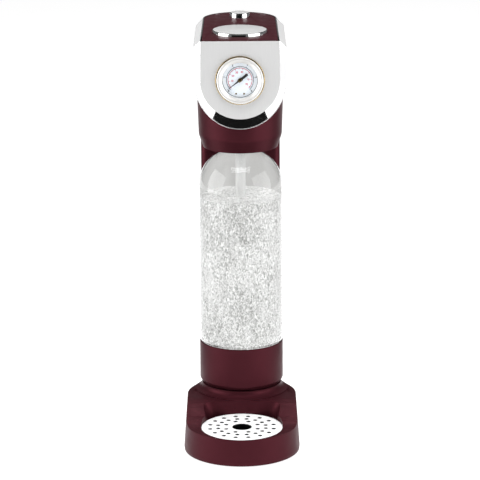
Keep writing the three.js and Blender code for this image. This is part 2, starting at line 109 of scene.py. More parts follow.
def filleted(corners, steps=6):
    """A polyline whose corners (x, y, radius) are rounded; a corner without a radius stays sharp."""
    points = []
    for i, corner in enumerate(corners):
        here = Vector(corner[:2])
        radius = corner[2] if len(corner) > 2 else 0
        if radius == 0 or i in (0, len(corners) - 1):
            points.append(tuple(here))
            continue
        before = Vector(corners[i - 1][:2]) - here
        after = Vector(corners[i + 1][:2]) - here
        half = before.angle(after) / 2
        reach = min(radius / math.tan(half), before.length * 0.49, after.length * 0.49)
        start, end = here + before.normalized() * reach, here + after.normalized() * reach
        for k in range(steps + 1):
            t = k / steps
            points.append(tuple(start * (1 - t) ** 2 + here * 2 * t * (1 - t) + end * t ** 2))
    return points


# ------------------------------------------------------------------ meshes
def new_object(name, vertices, faces):
    """A mesh object from millimetre points drawn about the bottle's axis."""
    mesh = bpy.data.meshes.new(name)
    mesh.from_pydata([(x * MM, (y + AXIS) * MM, z * MM) for x, y, z in vertices], [], faces)
    piece = bpy.data.objects.new(name, mesh)
    bpy.context.scene.collection.objects.link(piece)
    tidy(piece)
    return piece


def tidy(piece):
    """Merges doubled points and turns every face outwards."""
    edit = bmesh.new()
    edit.from_mesh(piece.data)
    bmesh.ops.remove_doubles(edit, verts=edit.verts, dist=1e-7)
    bmesh.ops.dissolve_degenerate(edit, edges=edit.edges, dist=1e-7)
    bmesh.ops.recalc_face_normals(edit, faces=edit.faces)
    edit.to_mesh(piece.data)
    edit.free()


def turned(name, profile, sides=ROUND, centre=(0, 0), along="Z"):
    """A (radius, height) profile turned about an upright axis, or about the gauge's axis along Y."""
    vertices, faces = [], []
    count = len(profile)
    for k in range(sides):
        angle = 2 * math.pi * k / sides
        for r, h in profile:
            u, v = r * math.cos(angle), r * math.sin(angle)
            vertices.append((centre[0] + u, centre[1] + v, h) if along == "Z" else (u, h, GAUGE_Z + v))
    for k in range(sides):
        a, b = k * count, (k + 1) % sides * count
        for i in range(count - 1):
            faces.append((a + i, b + i, b + i + 1, a + i + 1))
        if profile[0][0] > 0:
            faces.append((a + count - 1, b + count - 1, b, a))
    return new_object(name, vertices, faces)


def rod(name, radius, z0, z1, centre=(0, 0), along="Z", sides=ROUND, flare=0.0):
    """A round bar from one height to another, where the flare widens it."""
    return turned(name, [(0, z0), (radius, z0), (radius + flare, z1), (0, z1)], sides, centre, along)


def extrusion(start, count):
    """The two ends and the sides of a body whose two outlines follow each other in the mesh."""
    faces = [tuple(range(start, start + count)), tuple(range(start + count, start + 2 * count))]
    for i in range(count):
        j = (i + 1) % count
        faces.append((start + i, start + j, start + count + j, start + count + i))
    return faces


def prism(name, outline, z0, z1):
    """An (x, y) outline run upwards."""
    vertices = [(x, y, z0) for x, y in outline] + [(x, y, z1) for x, y in outline]
    return new_object(name, vertices, extrusion(0, len(outline)))


def side_slab(name, profile, half_width):
    """A (y, z) profile run across the whole width."""
    vertices = [(-half_width, y, z) for y, z in profile] + [(half_width, y, z) for y, z in profile]
    return new_object(name, vertices, extrusion(0, len(profile)))


def many_rods(name, spots, radius, z0, z1):
    """Upright rods at the spots, as one mesh."""
    vertices, faces = [], []
    for spot in spots:
        faces += extrusion(len(vertices), ROD_SIDES)
        ring = arc(*spot, radius, radius, 0, 360, ROD_SIDES)[:-1]
        vertices += [(x, y, z0) for x, y in ring] + [(x, y, z1) for x, y in ring]
    return new_object(name, vertices, faces)


def lofted(name, rings):
    """A closed body through rings of equally many points."""
    count = len(rings[0])
    vertices = [point for ring in rings for point in ring]
    faces = [tuple(range(count)), tuple(range((len(rings) - 1) * count, len(rings) * count))]
    for k in range(len(rings) - 1):
        for i in range(count):
            j = (i + 1) % count
            faces.append((k * count + i, k * count + j, (k + 1) * count + j, (k + 1) * count + i))
    return new_object(name, vertices, faces)


def hull(name, points):
    """The convex body round the points, with its flat faces joined up."""
    piece = new_object(name, [], [])
    edit = bmesh.new()
    for x, y, z in points:
        edit.verts.new((x * MM, (y + AXIS) * MM, z * MM))
    result = bmesh.ops.convex_hull(edit, input=edit.verts)
    unused = [item for item in result["geom_interior"] if isinstance(item, bmesh.types.BMVert)]
    bmesh.ops.delete(edit, geom=unused, context="VERTS")
    bmesh.ops.dissolve_limit(edit, angle_limit=math.radians(0.4), verts=edit.verts, edges=edit.edges)
    bmesh.ops.recalc_face_normals(edit, faces=edit.faces)
    edit.to_mesh(piece.data)
    edit.free()
    return piece


def block(name, x0, x1, y0, y1, z0, z1):
    return prism(name, [(x0, y0), (x1, y0), (x1, y1), (x0, y1)], z0, z1)


def settle(piece):
    """Applies the piece's modifiers to its mesh."""
    graph = bpy.context.evaluated_depsgraph_get()
    mesh = bpy.data.meshes.new_from_object(piece.evaluated_get(graph))
    piece.modifiers.clear()
    piece.data = mesh


def combine(piece, tool, operation="DIFFERENCE"):
    """Cuts, joins or intersects the piece with a tool, which is used up."""
    modifier = piece.modifiers.new("combine", "BOOLEAN")
    modifier.operation = operation
    modifier.solver = "EXACT"
    modifier.object = tool
    settle(piece)
    bpy.data.objects.remove(tool)
    return piece


def soften(piece, width, angle=25, segments=3):
    """Rounds the edges that are sharper than the angle and shades the rest smoothly."""
    if width > 0:
        modifier = piece.modifiers.new("soften", "BEVEL")
        modifier.width = width * MM
        modifier.segments = segments
        modifier.limit_method = "ANGLE"
        modifier.angle_limit = math.radians(angle)
        settle(piece)
    piece.data.shade_smooth()
    piece.data.set_sharp_from_angle(angle=math.radians(angle + SHARPER))
    return piece


def place(piece, material, body, slot, *nodes):
    """Gives the piece its material and its body, and hides the CAD nodes that it stands for; slot is not
    used.
    """
    piece.data.materials.clear()
    piece.data.materials.append(material)
    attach(piece, body)
    if nodes:
        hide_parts(*nodes)
    return piece


def refinish(piece, material, chosen):
    """Gives the faces whose normal is chosen a second material."""
    piece.data.materials.append(material)
    for face in piece.data.polygons:
        if chosen(face.normal):
            face.material_index = 1


# ------------------------------------------------------------------ materials
class Shader:
    """A material's node tree, with short calls for the nodes that the finishes use."""

    def __init__(self, name, **sockets):
        self.material = bpy.data.materials.new(name)
        self.material.use_nodes = True
        self.nodes = self.material.node_tree.nodes
        self.links = self.material.node_tree.links
        self.surface = self.nodes["Principled BSDF"]
        for socket, value in sockets.items():
            self.surface.inputs[socket.replace("_", " ")].default_value = value

    def place(self, scale=(1, 1, 1)):
        coordinates = self.nodes.new("ShaderNodeTexCoord")
        mapping = self.nodes.new("ShaderNodeMapping")
        mapping.inputs["Scale"].default_value = scale
        self.links.new(coordinates.outputs["Object"], mapping.inputs["Vector"])
        return mapping.outputs["Vector"]

    def noise(self, vector, scale, detail=3.0, distortion=0.0):
        node = self.nodes.new("ShaderNodeTexNoise")
        node.inputs["Scale"].default_value = scale
        node.inputs["Detail"].default_value = detail
        node.inputs["Distortion"].default_value = distortion
        self.links.new(vector, node.inputs["Vector"])
        return node.outputs["Fac"]

    def cells(self, vector, scale):
        """Distance to the middle of the nearest cell."""
        node = self.nodes.new("ShaderNodeTexVoronoi")
        node.inputs["Scale"].default_value = scale
        self.links.new(vector, node.inputs["Vector"])
        return node.outputs["Distance"]

    def ramp(self, value, *stops):
        """Maps a value to grey or colour through (position, colour) stops."""
        node = self.nodes.new("ShaderNodeValToRGB")
        ramp = node.color_ramp
        while len(ramp.elements) < len(stops):
            ramp.elements.new(0.5)
        for element, (position, colour) in zip(ramp.elements, stops):
            element.position = position
            element.color = (*colour, 1) if isinstance(colour, tuple) else (colour, colour, colour, 1)
        self.links.new(value, node.inputs["Fac"])
        return node.outputs["Color"]

    def math(self, operation, a, b):
        node = self.nodes.new("ShaderNodeMath")
        node.operation = operation
        for socket, value in zip(node.inputs, (a, b)):
            if isinstance(value, (int, float)):
                socket.default_value = value
            else:
                self.links.new(value, socket)
        return node.outputs["Value"]

    def mix(self, factor, a, b):
        node = self.nodes.new("ShaderNodeMix")
        node.data_type = "RGBA"
        for socket, value in ((node.inputs["Factor"], factor), (node.inputs["A"], a), (node.inputs["B"], b)):
            if isinstance(value, (tuple, float, int)):
                socket.default_value = (*value, 1) if isinstance(value, tuple) else value
            else:
                self.links.new(value, socket)
        return node.outputs["Result"]

    def bump(self, height, distance, strength):
        node = self.nodes.new("ShaderNodeBump")
        node.inputs["Strength"].default_value = strength
        node.inputs["Distance"].default_value = distance
        self.links.new(height, node.inputs["Height"])
        self.links.new(node.outputs["Normal"], self.surface.inputs["Normal"])

    def drive(self, output, socket):
        self.links.new(output, self.surface.inputs[socket])


SCRATCH_DEPTH = 0.00001


def moulded_plastic(name, colour, shade, roughness, gloss=0.4, grain=0.00002, glow=0.0, flake=0.0):
    """Moulded plastic: slight colour drift, uneven gloss and a very fine grain; a glow, where given, is
    painted light in the plastic's own colour.
    """
    shader = Shader(name, Specular_IOR_Level=gloss, Emission_Strength=glow, Metallic=flake)
    shader.surface.inputs["Emission Color"].default_value = (*colour, 1)
    spot = shader.place()
    drift = shader.noise(spot, 22.0)
    shader.drive(shader.mix(drift, colour, shade), "Base Color")
    shader.drive(shader.ramp(shader.noise(spot, 90.0, 5.0), (0.3, roughness - 0.04), (0.7, roughness + 0.05)),
                 "Roughness")
    shader.bump(shader.noise(spot, 2600.0, 2.0), grain, 0.5)
    return shader.material


def polished_metal(name, colour, roughness):
    """Polished plating with faint wiping marks."""
    shader = Shader(name, Metallic=1.0)
    spot = shader.place()
    shader.drive(shader.mix(shader.noise(spot, 35.0), colour, tuple(c * 0.94 for c in colour)), "Base Color")
    smear = shader.noise(shader.place((1, 1, 14)), 60.0, 4.0)
    shader.drive(shader.ramp(smear, (0.35, roughness), (0.75, roughness + 0.05)), "Roughness")
    return shader.material


def brushed_metal(name, colour, roughness, stretch=(1, 60, 1), metallic=1.0):
    """Brushed metal: long fine scratches in one direction."""
    shader = Shader(name, Metallic=metallic, Anisotropic=0.3)
    lines = shader.noise(shader.place(stretch), 70.0, 6.0)
    shader.drive(shader.mix(lines, colour, tuple(c * 0.92 for c in colour)), "Base Color")
    shader.drive(shader.ramp(lines, (0.3, roughness - 0.06), (0.7, roughness + 0.08)), "Roughness")
    shader.bump(lines, SCRATCH_DEPTH, 0.6)
    return shader.material


BURGUNDY = moulded_plastic("burgundy_body", (0.062, 0.0131, 0.0187), (0.055, 0.0116, 0.0165),
                           0.42, gloss=0.03, flake=0.55)
CHROME = polished_metal("chrome_plating", (0.93, 0.93, 0.935), 0.05)
SATIN_STEEL = brushed_metal("satin_steel", (0.42, 0.42, 0.42), 0.40, metallic=0.2)
SILVER = brushed_metal("silver_ring", (0.90, 0.89, 0.87), 0.38, metallic=0.6)
SATIN_PLATE = brushed_metal("satin_plate", (0.70, 0.70, 0.70), 0.46, (40, 40, 1), metallic=0.45)
TRAY_STEEL = brushed_metal("tray_steel", (0.78, 0.78, 0.78), 0.5, metallic=0.0)
PLAIN_STEEL = brushed_metal("plain_steel", (0.5, 0.5, 0.51), 0.4, (1, 1, 30))
CYLINDER_PAINT = moulded_plastic("cylinder_paint", (0.34, 0.35, 0.37), (0.3, 0.31, 0.33), 0.42)
BRASS = polished_metal("warm_brass", (0.80, 0.60, 0.30), 0.16)
RUBBER = moulded_plastic("black_rubber", (0.018, 0.018, 0.018), (0.026, 0.026, 0.026), 0.8, grain=0.00006)
# Black plastic, also used as painted shade on the drip plate's upright faces
BLACK_PLASTIC_AND_HOLE_SHADE = moulded_plastic("black_plastic", (0.012, 0.012, 0.013), (0.018, 0.018, 0.018), 0.5)
GREY_PLASTIC = moulded_plastic("grey_plastic", (0.15, 0.15, 0.16), (0.12, 0.12, 0.13), 0.55)
# The nozzle tube's glow is painted light that brightens the tube seen through the clear bottle
NOZZLE_PLASTIC = moulded_plastic("nozzle_plastic", (0.80, 0.80, 0.79), (0.74, 0.74, 0.73), 0.3, glow=0.12)


def clear_plastic(name):
    """Clear blown plastic: see-through, glossy, with the faint waviness of a blown wall."""
    shader = Shader(name, Roughness=0.04, IOR=1.36, Transmission_Weight=1.0, Specular_IOR_Level=0.4)
    shader.surface.inputs["Base Color"].default_value = (0.97, 0.975, 0.975, 1)
    shader.bump(shader.noise(shader.place((1, 1, 0.35)), 28.0, 2.0), 0.0004, 0.25)
    return shader.material


def misted_gas(name):
    """The cool mist that lines the bottle above the water: pale, uneven, a little see-through; its pale tone
    is mostly glow, painted light standing in for the light that the clear wall keeps from it.
    """
    shader = Shader(name, Roughness=0.55, Specular_IOR_Level=0.2, Emission_Strength=0.34)
    spot = shader.place((1, 1, 0.3))
    tone = shader.ramp(shader.noise(spot, 30.0, 4.0, 0.6),
                       (0.3, (0.70, 0.695, 0.685)), (0.7, (0.90, 0.895, 0.885)))
    # base colour darkened, the tone given as glow instead: painted light
    shader.drive(shader.mix(0.35, tone, (0.08, 0.08, 0.08)), "Base Color")
    shader.drive(tone, "Emission Color")
    shader.drive(shader.ramp(shader.noise(spot, 45.0, 3.0), (0.3, 0.88), (0.7, 0.98)), "Alpha")
    return shader.material


def fizzing_water(name):
    """Water full of rising bubbles: crumpled bright streaks over grey, and fine sparkling cells; their
    brightness is nearly all glow, painted light standing in for the light that the clear wall keeps from it.
    """
    shader = Shader(name, Roughness=0.3, Specular_IOR_Level=0.05, Emission_Strength=1.02)
    wide = shader.place((1, 1, 0.62))
    folds = shader.noise(wide, 340.0, 6.0, 2.4)
    drift = shader.noise(wide, 20.0, 3.0, 0.8)
    shade = shader.math("ADD", shader.math("MULTIPLY", folds, 0.84), shader.math("MULTIPLY", drift, 0.22))
    tone = shader.ramp(shade, (0.40, (0.25, 0.25, 0.24)), (0.47, (0.44, 0.44, 0.43)),
                       (0.54, (0.66, 0.66, 0.65)), (0.60, (0.82, 0.82, 0.81)), (0.68, (0.95, 0.95, 0.94)))
    bubbles = shader.ramp(shader.cells(shader.place(), 420.0), (0.05, 1.0), (0.25, 0.0))
    froth = shader.mix(shader.math("MULTIPLY", bubbles, 0.6), tone, (0.98, 0.98, 0.97))
    # base colour nearly black, the froth given as glow instead: painted light
    shader.drive(shader.mix(0.92, froth, (0.04, 0.04, 0.04)), "Base Color")
    shader.drive(froth, "Emission Color")
    shader.bump(shade, 0.0008, 0.6)
    return shader.material


def gauge_glass(name):
    shader = Shader(name, Alpha=0.06, Specular_IOR_Level=0.3)
    shader.surface.inputs["Base Color"].default_value = (0.02, 0.02, 0.02, 1)
    shader.drive(shader.ramp(shader.noise(shader.place(), 40.0), (0.4, 0.02), (0.8, 0.05)), "Roughness")
    return shader.material


def printed(name, colour, glow=0.0):
    """Dial paint, with the faint mottle of print; a glow, where given, is painted light in the paint's
    colour.
    """
    shader = Shader(name, Roughness=0.45, Emission_Strength=glow)
    paint = shader.mix(shader.noise(shader.place(), 300.0), colour, tuple(c * 0.93 for c in colour))
    shader.drive(paint, "Base Color")
    shader.drive(paint, "Emission Color")
    return shader.material


CLEAR_PLASTIC = clear_plastic("clear_plastic")
MIST = misted_gas("misted_gas")
FIZZ = fizzing_water("fizzing_water")
GLASS = gauge_glass("gauge_glass")
# The white dial's glow is painted light that brightens the face behind the lens
DIAL_WHITE = printed("dial_white", (0.85, 0.92, 1.0), glow=0.3)
DIAL_BLACK = printed("dial_black", (0.012, 0.012, 0.014))
DIAL_RED = printed("dial_red", (0.72, 0.12, 0.17))


# ------------------------------------------------------------------ the foot
BASE_HALF = high("base_shell").x
BASE_FRONT = low("base_shell").y - AXIS
BASE_DRAFT = 2.8                # how far the foot's wall leans in over its height
BASE_BOTTOM = low("base_shell").z
BASE_LOW = high("drip_plate").z  # the foot's top round the tray
BASE_HIGH = low("tower_shell").z - 0.3  # the foot's top under the column
SADDLE_FRONT, SADDLE_REAR = -96, -40  # where the foot's top starts and stops rising
SADDLE_STEPS = 40
SHOULDER_Y = -23                # middle of the round shoulder beside the bottle
SAUCER = 47.8                   # radius of the round seat under the bottle
SAUCER_NECK = 40.5              # radius of its raised top
SAUCER_TOP = high("base_shell").z
TRAY_RADIUS = high("drip_plate").x
WELL_RADIUS = high("drip_cup").x + 0.3
WELL_FLOOR = 6.5
RECESS_FLOOR = BASE_LOW - 1.4
RECESS_HALF = 35.5              # half the width of the recess at its floor
RECESS_CORNER = 13
RECESS_WALL = ((0, -4), (0, 1), (0.6, 5), (2.2, 10), (5, 15), (10, 22))     # outwards, upwards from its floor
BAY_RADIUS = 33                 # of the opening under the gas cylinder
UNDERSIDE = 4.4
ABOVE_FOOT = 60                 # height that the foot's cutting tools reach


def base_plan(inset, z):
    """The foot's plan at a height: round front, round shoulder, round back."""
    radius = BASE_HALF - inset
    front_y = BASE_FRONT + BASE_HALF
    tail = COLUMN_HALF + BASE_DRAFT - inset
    turn = math.degrees(math.acos(tail / radius))
    outline = (arc(0, front_y, radius, radius, 180, 360, 2 * PLAN_STEPS)
               + arc(0, SHOULDER_Y, radius, radius, 0, turn, PLAN_STEPS // 2)
               + arc(0, COLUMN_REAR, tail, tail, 0, 180, PLAN_STEPS)
               + arc(0, SHOULDER_Y, radius, radius, 180 - turn, 180, PLAN_STEPS // 2))
    return [(x, y, z) for x, y in outline]


def flat(ring):
    return [(x, y) for x, y, _ in ring]


def saddle():
    """The foot's upper outline seen from the side: a long S from the tray up to the bottle."""
    points = []
    for i in range(SADDLE_STEPS + 1):
        t = i / SADDLE_STEPS
        y = SADDLE_FRONT + (SADDLE_REAR - SADDLE_FRONT) * t
        points.append((y, BASE_LOW + (BASE_HIGH - BASE_LOW) * t * t * (3 - 2 * t)))
    return points


def foot_form():
    """The foot's outside: leaning walls under the saddle, and the coved saucer that the bottle hangs over."""
    edge = filleted([(4.6, BASE_BOTTOM), (0.3, BASE_BOTTOM, 0.6), (0, BASE_BOTTOM + 3, 2),
                     (BASE_DRAFT, BASE_HIGH + 0.1)])
    shell = lofted("foot_shell", [base_plan(inset, z) for inset, z in edge])
    profile = [(-FAR, BELOW), (FAR, BELOW), (FAR, BASE_HIGH)] + saddle()[::-1] + [(-FAR, BASE_LOW)]
    combine(shell, side_slab("saddle", profile, WIDE), "INTERSECT")

    cove = arc(SAUCER, SAUCER_TOP - 0.6, SAUCER - SAUCER_NECK, SAUCER_TOP - BASE_HIGH - 1.2, 270, 180, 16)
    saucer = turned("saucer", [(0, BASE_HIGH - 8), (SAUCER, BASE_HIGH - 8)] + cove
                    + [(SAUCER_NECK - 0.6, SAUCER_TOP), (0, SAUCER_TOP)])
    combine(saucer, prism("limit", flat(base_plan(BASE_DRAFT + 0.9, 0)), BASE_LOW, ABOVE_FOOT), "INTERSECT")
    return combine(shell, saucer, "UNION")


def recess():
    """The hollow behind the tray, whose wall leans outwards as it rises."""
    rings = []
    for out, rise in RECESS_WALL:
        half = RECESS_HALF + out
        back = -SAUCER - 0.2
        corners = [(-half, TRAY_Y), (half, TRAY_Y), (half, back, RECESS_CORNER), (-half, back, RECESS_CORNER),
                   (-half, TRAY_Y)]
        rings.append([(x, y, RECESS_FLOOR + rise) for x, y in filleted(corners, 8)[:-1]])
    return lofted("recess", rings)


def foot():
    shell = foot_form()
    combine(shell, recess())
    combine(shell, rod("tray_seat", TRAY_RADIUS + 0.3, RECESS_FLOOR, ABOVE_FOOT, (0, TRAY_Y), flare=0.2))
    combine(shell, rod("well", WELL_RADIUS, WELL_FLOOR, ABOVE_FOOT, (0, TRAY_Y)))
    combine(shell, rod("bay", BAY_RADIUS, UNDERSIDE, ABOVE_FOOT, (0, CYLINDER_Y)))
    combine(shell, prism("underside", flat(base_plan(BASE_DRAFT + 2.5, 0)), BELOW, UNDERSIDE))
    soften(shell, 0.5, 32)
    place(shell, BURGUNDY, "machine", "burgundy_body", "base_shell")


DRAIN = 2.2
DRAIN_MIDDLE = 9.7
DRAIN_RINGS = ((16, 32.2), (16, 24.1), (8, 16.9))   # how many, and how far from the middle
CUP_WALL = 1.5


def hole_ring(count, radius):
    turns = [2 * math.pi * (i + 0.5) / count for i in range(count)]
    return [(radius * math.cos(turn), TRAY_Y + radius * math.sin(turn)) for turn in turns]


def drip_tray():
    bottom, top = low("drip_plate").z, high("drip_plate").z
    section = filleted([(0, bottom), (TRAY_RADIUS, bottom), (TRAY_RADIUS, top, 0.5),
                        (DRAIN_MIDDLE, top, 0.3), (DRAIN_MIDDLE, bottom)])[1:]
    plate = turned("perforated_plate", section, centre=(0, TRAY_Y))
    spots = [spot for count, ring in DRAIN_RINGS for spot in hole_ring(count, ring)]
    combine(plate, many_rods("holes", spots, DRAIN, bottom - 2, top + 2))
    soften(plate, 0)
    place(plate, TRAY_STEEL, "drip_plate", "brushed_steel", "drip_plate")
    # the plate's upright faces (its rims and the drain holes' walls) are painted black: painted shade that
    # darkens the holes
    refinish(plate, BLACK_PLASTIC_AND_HOLE_SHADE, lambda normal: abs(normal.z) < 0.3)

    rim, depth = high("drip_cup").z, low("drip_cup").z
    radius = high("drip_cup").x
    section = filleted([(0, depth), (radius - 1, depth, 3), (radius, rim), (radius - CUP_WALL, rim),
                        (radius - CUP_WALL - 0.9, depth + CUP_WALL, 3), (0, depth + CUP_WALL)])
    cup = turned("drip_bowl", section, centre=(0, TRAY_Y))
    soften(cup, 0)
    place(cup, BLACK_PLASTIC_AND_HOLE_SHADE, "drip_cup", "black_plastic", "drip_cup")


# ------------------------------------------------------------------ the column
COLUMN_CORNER = 6
SKIN = 2.5


def column_plan(inset):
    """The column's plan: flat front with round corners, straight sides, half-round back."""
    half = COLUMN_HALF - inset
    corner = COLUMN_CORNER - inset
    cx, cy = COLUMN_HALF - COLUMN_CORNER, COLUMN_FRONT + COLUMN_CORNER
    return (arc(-cx, cy, corner, corner, 180, 270, 8) + arc(cx, cy, corner, corner, 270, 360, 8)
            + arc(0, COLUMN_REAR, half, half, 0, 180, 2 * PLAN_STEPS))


def column():
    top, bottom = high("tower_shell").z, low("tower_shell").z
    cover_low, cover_high = low("rear_cover").z, high("rear_cover").z

    def tube(name, z0, z1):
        body = prism(name, column_plan(0), z0, z1)
        return combine(body, prism("inside", column_plan(SKIN), z0 - 1, z1 + 1))

    shell = tube("column_shell", bottom, top)
    combine(shell, block("back", -WIDE, WIDE, COLUMN_REAR, FAR, 0, cover_high + 0.3))
    soften(shell, 0.5)
    place(shell, BURGUNDY, "machine", "burgundy_body", "tower_shell")
    cover = tube("rear_panel", cover_low, cover_high)
    combine(cover, block("front", -WIDE, WIDE, 0, COLUMN_REAR + 0.3, 0, DECK_TOP))
    soften(cover, 0.6)
    place(cover, BURGUNDY, "rear_cover", "burgundy_body", "rear_cover")


# ------------------------------------------------------------------ the head
HOUSING_BOTTOM, HOUSING_TOP = low("head_housing").z, high("head_housing").z
HOUSING_HALF = high("head_housing").x
HOUSING_FLOOR = high("tower_shell").z + 0.3
HOOD_FRONT = low("chrome_shroud").y - AXIS
HOOD_HALF = high("chrome_shroud").x
HOOD_SKIRT = 359.5              # the hood's lower edge at its sides and back
HOOD_SHOULDER = 402.5           # where its top sides start to slant
HOOD_CENTRE = 372               # middle of the U
HOOD_DROP = 51                  # from there down to the band's lower edge
HOOD_REAR = 45                  # radius of its round back
BAND_Y = -43                    # rear edge of the bevelled band
PLATE = 39.25                   # half width and radius of the front plate
DECK_HALF, DECK_REAR = 38.8, 37.5
BEAD, BEAD_SIDES = 0.55, 10
NECK_SLOT = 24                  # the opening that lets the bottle's neck tilt
NECK_SLOT_REACH = 5.5
CYLINDER_WAY = 32.5             # radius of the opening round the gas cylinder
WAY_LOW, WAY_HIGH = 290, 330    # heights between which the housing's floor is pierced
BEFORE_GAUGE = -70              # in front of everything


def head_plan(half, z):
    outline = (arc(0, 0, half, half, 180, 360, 2 * HEAD_STEPS)
               + arc(0, COLUMN_REAR, half, half, 0, 180, 2 * HEAD_STEPS))
    return [(x, y, z) for x, y in outline]


def head_form(name, inset, bottom, top):
    """The coloured head's form between two heights, drawn in by an inset: a soft lower edge, then a flare."""
    side = filleted([(HOUSING_HALF - 5.8, HOUSING_BOTTOM), (HOUSING_HALF - 1.7, HOUSING_BOTTOM + 12.5, 14),
                     (HOUSING_HALF, HOOD_SKIRT, 30), (HOUSING_HALF, HOUSING_TOP)], 8)
    rings = [head_plan(side[0][0] - inset, bottom)] if bottom < side[0][1] else []
    rings += [head_plan(half - inset, z) for half, z in side if bottom <= z <= top]
    if rings[-1][0][2] < top:
        rings.append(head_plan(side[-1][0] - inset, top))
    return lofted(name, rings)


def housing():
    shell = head_form("head_body", 0, HOUSING_BOTTOM, HOUSING_TOP)
    combine(shell, head_form("upper_hollow", SKIN, HOUSING_FLOOR + SKIN, HOUSING_TOP + 1))
    combine(shell, head_form("lower_hollow", SKIN, HOUSING_BOTTOM - 1, HOUSING_FLOOR))
    combine(shell, prism("column_seat", column_plan(-0.3), WAY_LOW, HOUSING_FLOOR))
    slot = [(x, y - NECK_SLOT_REACH) for x, y in arc(0, 0, NECK_SLOT, NECK_SLOT, 180, 360, HEAD_STEPS)]
    slot += arc(0, 0, NECK_SLOT, NECK_SLOT, 0, 180, HEAD_STEPS)
    combine(shell, prism("neck_slot", slot, WAY_LOW, WAY_HIGH))
    combine(shell, rod("cylinder_way", CYLINDER_WAY, WAY_LOW, WAY_HIGH, (0, CYLINDER_Y)))
    combine(shell, rod("gauge_way", BARREL + 1, BEFORE_GAUGE, -20, along="Y"))
    soften(shell, 0.35, 30)
    place(shell, BURGUNDY, "machine", "burgundy_body", "head_housing")


def hood_form(name, inset, drop):
    """The polished hood's form, drawn in by an inset: U-shaped plate, bevelled band, slanted top sides."""
    def bow(a, b, y):
        return [(x, y, z) for x, z in arc(0, HOOD_CENTRE, a - inset, b - inset, 180, 360, HOOD_STEPS)]

    def corners(half, y, z):
        return [(-half + inset, y, z), (half - inset, y, z)]

    def tail(radius, z):
        return [(x, y, z) for x, y in arc(0, COLUMN_REAR, radius - inset, radius - inset, 0, 180, HOOD_STEPS)]

    shoulder = HOOD_SHOULDER - inset * 0.4
    front, band_y = HOOD_FRONT + inset, BAND_Y + inset * 0.4
    return hull(name, bow(PLATE, PLATE, front) + corners(DECK_HALF, front, DECK_TOP - inset)
                + bow(HOOD_HALF, HOOD_DROP, band_y) + corners(HOOD_HALF, band_y, shoulder)
                + tail(HOOD_REAR, HOOD_SKIRT - drop) + tail(HOOD_REAR, shoulder)
                + tail(DECK_REAR, DECK_TOP - inset))


def hood_lip():
    """The rolled bead along the band's lower edge."""
    rings = []
    for x, z in arc(0, HOOD_CENTRE, HOOD_HALF - BEAD, HOOD_DROP - BEAD, 190, 350, HOOD_STEPS):
        out = Vector((x / HOOD_HALF ** 2, (z - HOOD_CENTRE) / HOOD_DROP ** 2)).normalized() * BEAD
        rings.append([(x + u * out.x, BAND_Y - 0.2 + v * BEAD, z + u * out.y)
                      for u, v in arc(0, 0, 1, 1, 0, 360, BEAD_SIDES)[:-1]])
    lip = lofted("hood_lip", rings)
    soften(lip, 0, 60)
    place(lip, CHROME, "machine", "polished_chrome")


def deck_plan(inset):
    return ([(-DECK_HALF + inset, HOOD_FRONT + inset), (DECK_HALF - inset, HOOD_FRONT + inset)]
            + arc(0, COLUMN_REAR, DECK_REAR - inset, DECK_REAR - inset, 0, 180, HOOD_STEPS))


def satin_face(normal):
    """The hood's flat front plate and its slanted top sides are satin; the rest is polished."""
    return normal.y < -0.995 or (0.5 < normal.z < 0.85 and abs(normal.x) > 0.3)


def hood():
    shell = hood_form("hood", 0, 0)
    combine(shell, hood_form("hood_hollow", 2, 6))
    combine(shell, head_form("housing_room", -0.3, HOUSING_BOTTOM - 5, HOUSING_TOP + 0.3))
    combine(shell, prism("deck_opening", deck_plan(1.2), DECK_TOP - 8, DECK_TOP + 1))
    combine(shell, rod("gauge_hole", BARREL + 0.5, BEFORE_GAUGE, -40, along="Y"))
    soften(shell, 0.75, 12, 2)
    place(shell, CHROME, "machine", "polished_chrome", "chrome_shroud")
    refinish(shell, SATIN_PLATE, satin_face)


def deck():
    plate = prism("deck", deck_plan(1.5), DECK_TOP - 3.8, DECK_TOP - 0.3)
    for name, node, y in (("button_hole", "carbonate_button", 0), ("vent_hole", "vent_button", VENT_Y)):
        combine(plate, rod(name, high(node).x + 0.4, DECK_TOP - 15, DECK_TOP + 5, (0, y)))
    feet = [(x, y) for y in (40, 64) for x in (-30, 30)]
    combine(plate, many_rods("posts", feet, 3, low("top_cover").z, DECK_TOP - 3), "UNION")
    soften(plate, 0.4, 30)
    place(plate, BURGUNDY, "machine", "burgundy_body", "top_cover")


def push_button(name, node, y, skirt, stem, lip):
    """A turned metal button: satin top face, polished lip, a stem that reaches down inside."""
    radius, top, bottom = high(node).x, high(node).z, low(node).z
    under = top - 3
    hollow = radius - lip
    profile = filleted([(0, bottom), (stem, bottom), (stem, under), (hollow, under), (hollow, skirt),
                        (radius, skirt, 0.3), (radius, top - 1.0), (radius - 0.3, top - 0.3),
                        (radius - 1.0, top), (0, top - 0.15)])
    button = turned(name, profile, centre=(0, y))
    soften(button, 0)
    place(button, CHROME, node, "brushed_steel", node)
    refinish(button, SATIN_STEEL, lambda normal: normal.z > 0.98)


# ------------------------------------------------------------------ the gauge
SCALE_START = 225               # degrees, anticlockwise from the right
SCALE_STEP = 54                 # degrees between two black numerals
SCALE_STEPS = 5
SCALE_RADIUS = 13.2
RED_RADIUS = 11.8
RED_START, RED_STEP, RED_NUMERALS = 188, 37.3, 7
RED_MINOR = 18.6                # degrees from a red numeral back to the short tick before it
DIAL_FACE = low("gauge_dial").y - AXIS
DIAL_BORE = 1.3
PRINT = 0.06                    # how far the print stands off the dial
NEEDLE_REST = 217.8             # degrees, at no pressure
SCREW_X, SCREW_DROP, SCREW_SIDES = 3.9, 13.8, 12
STEM = 5.4                      # radius of the hole for the gauge's stem
WINDOW = 17.6                   # radius of the dial that the bezel leaves open


